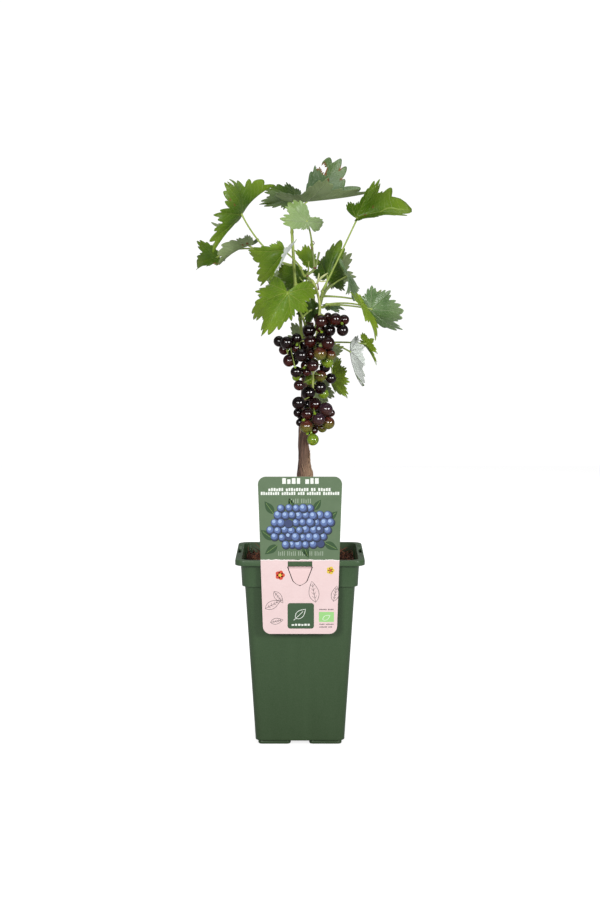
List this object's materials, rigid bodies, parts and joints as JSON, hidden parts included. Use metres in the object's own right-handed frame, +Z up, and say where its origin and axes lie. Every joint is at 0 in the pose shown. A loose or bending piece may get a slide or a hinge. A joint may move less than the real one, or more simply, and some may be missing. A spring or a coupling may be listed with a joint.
{
  "type": "grapevine",
  "caption": "Young grapevine with one bunch of dark grapes and lobed leaves, in a tall square green nursery pot with a hang-on label.",
  "frame": {"origin": "on the ground under the middle of the pot", "axes": "+Z up, -Y towards the front, which the label faces, and +X to the right as seen from the front"},
  "size_m": [0.2535, 0.1519, 0.6841],
  "materials": {
    "pot_plastic": "satin dark green",
    "soil": "rough dark brown fibres",
    "label_card": "coated card",
    "bark": "fibrous bark",
    "green_shoot": "smooth green",
    "leaf": "glossy above, dull below",
    "grape": "glossy dark skin"
  },
  "bodies": {
    "root": {"pot": "pot_plastic", "potting_soil": "soil", "plant_label": "label_card", "trunk": "bark", "shoot_left": "green_shoot", "shoot_middle": "green_shoot", "shoot_right": "green_shoot", "foliage_top": "leaf", "foliage_upper_left": "leaf", "foliage_left": "leaf", "foliage_back_left": "leaf", "foliage_centre": "leaf", "foliage_front": "leaf", "foliage_upper_right": "leaf", "foliage_right": "leaf", "foliage_back_right": "leaf", "foliage_lower_right": "leaf", "foliage_back": "leaf", "grape_bunch": "grape"}
  },
  "joints": []
}
